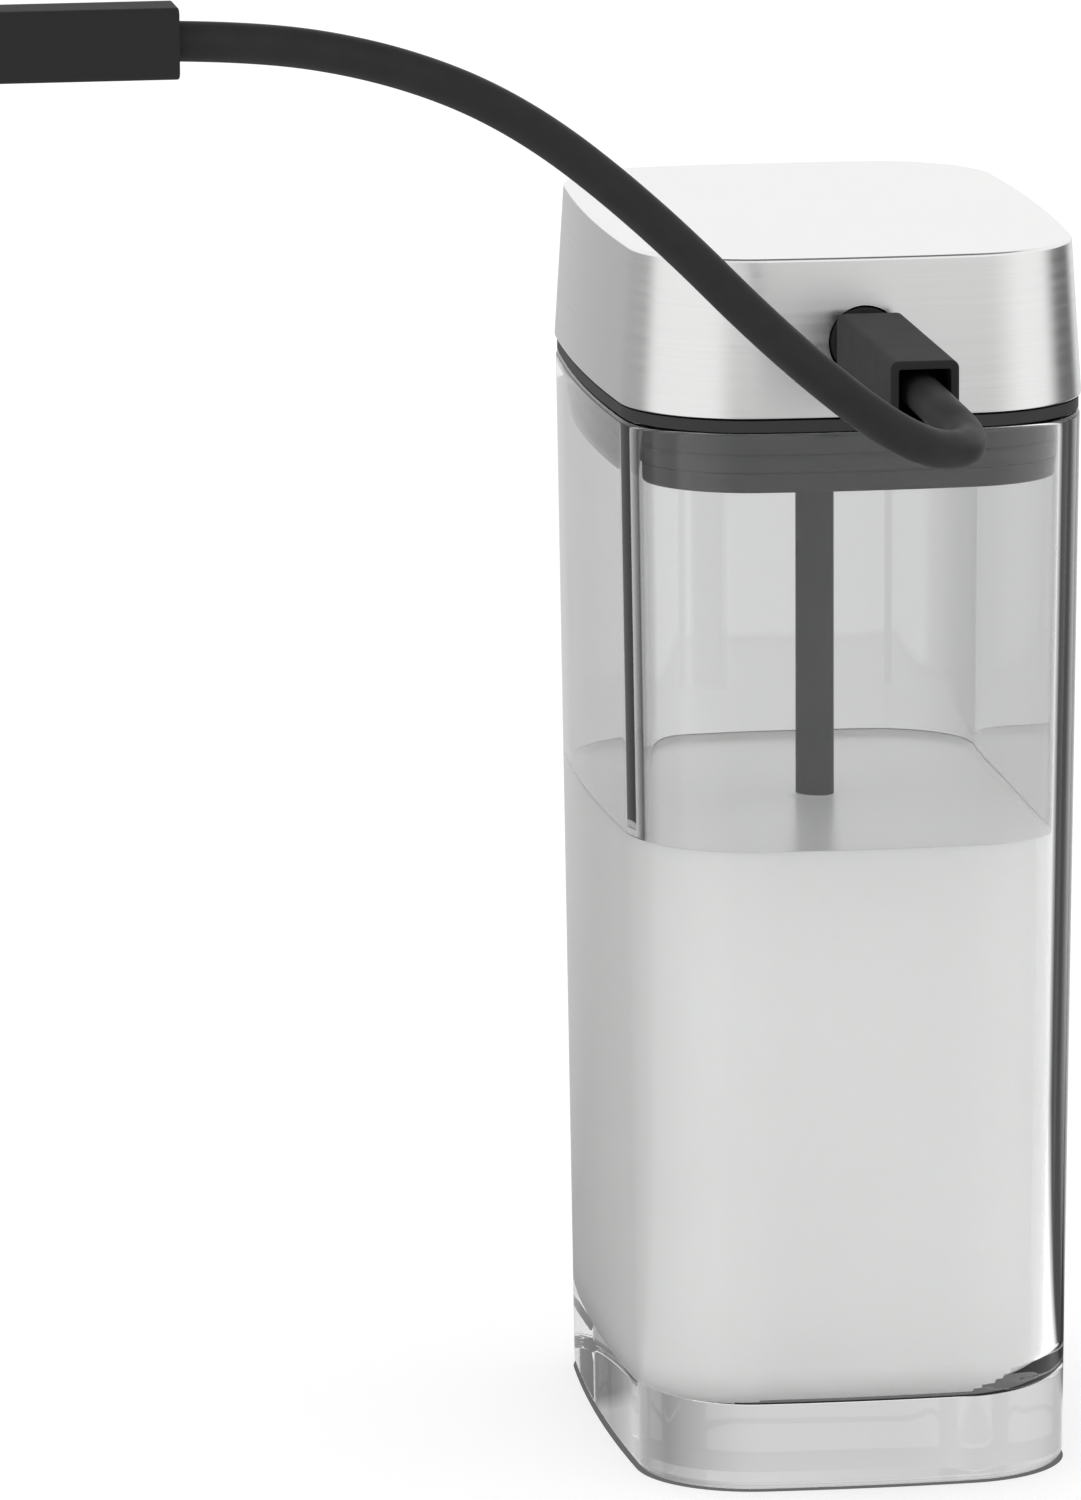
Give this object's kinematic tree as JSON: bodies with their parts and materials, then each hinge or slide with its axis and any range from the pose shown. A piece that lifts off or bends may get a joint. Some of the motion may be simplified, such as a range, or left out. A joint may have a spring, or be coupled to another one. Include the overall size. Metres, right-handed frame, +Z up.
{
  "type": "milk container",
  "caption": "Tall clear rounded box jar with a brushed steel lid, a plastic plug, an intake tube and a hose with square end sleeves, for an automatic frother.",
  "frame": {"origin": "centre of the jar's underside", "axes": "+Z up, -Y towards the front with the hose port, +X to the right seen from the front"},
  "size_m": [0.2272, 0.211, 0.2615],
  "materials": {
    "clear_glass": "polished, clear",
    "steel": "fine satin brushing",
    "screw_steel": "plated",
    "dark_plastic": "fine matt moulding",
    "pale_plastic": "natural moulding",
    "seal_rubber": "soft silicone",
    "hose_rubber": "satin silicone"
  },
  "bodies": {
    "jar": {"jar": "clear_glass"},
    "lid": {"lid_body": "dark_plastic", "lid_seal": "seal_rubber", "cap_shell": "steel", "cap_liner": "pale_plastic", "duct_gasket": "seal_rubber", "milk_duct": "pale_plastic", "duct_screws": "screw_steel", "tube_o_ring": "seal_rubber", "intake_tube": "dark_plastic", "port_socket": "dark_plastic", "port_washer": "seal_rubber", "port_nut": "pale_plastic"},
    "port_ring": {"port_o_ring": "seal_rubber"},
    "hose_set": {"port_sleeve": "dark_plastic", "port_spigot": "dark_plastic", "port_ferrule": "dark_plastic", "milk_hose": "hose_rubber", "machine_sleeve": "dark_plastic", "machine_spigot": "dark_plastic", "machine_o_ring": "seal_rubber", "machine_ferrule": "dark_plastic"}
  },
  "joints": [
    {"name": "lid_lift", "type": "slide", "parent": "jar", "child": "lid", "axis": [0, 0, 1], "range_m": [0, 0.17]},
    {"name": "connector_pull", "type": "slide", "parent": "lid", "child": "port_ring", "axis": [0, -1, 0], "range_m": [0, 0.02]},
    {"name": "connector_swivel", "type": "hinge", "parent": "port_ring", "child": "hose_set", "pos_m": [-0.001, -0.06, 0.1917], "axis": [0, 1, 0], "range_deg": [-90, 90]}
  ]
}
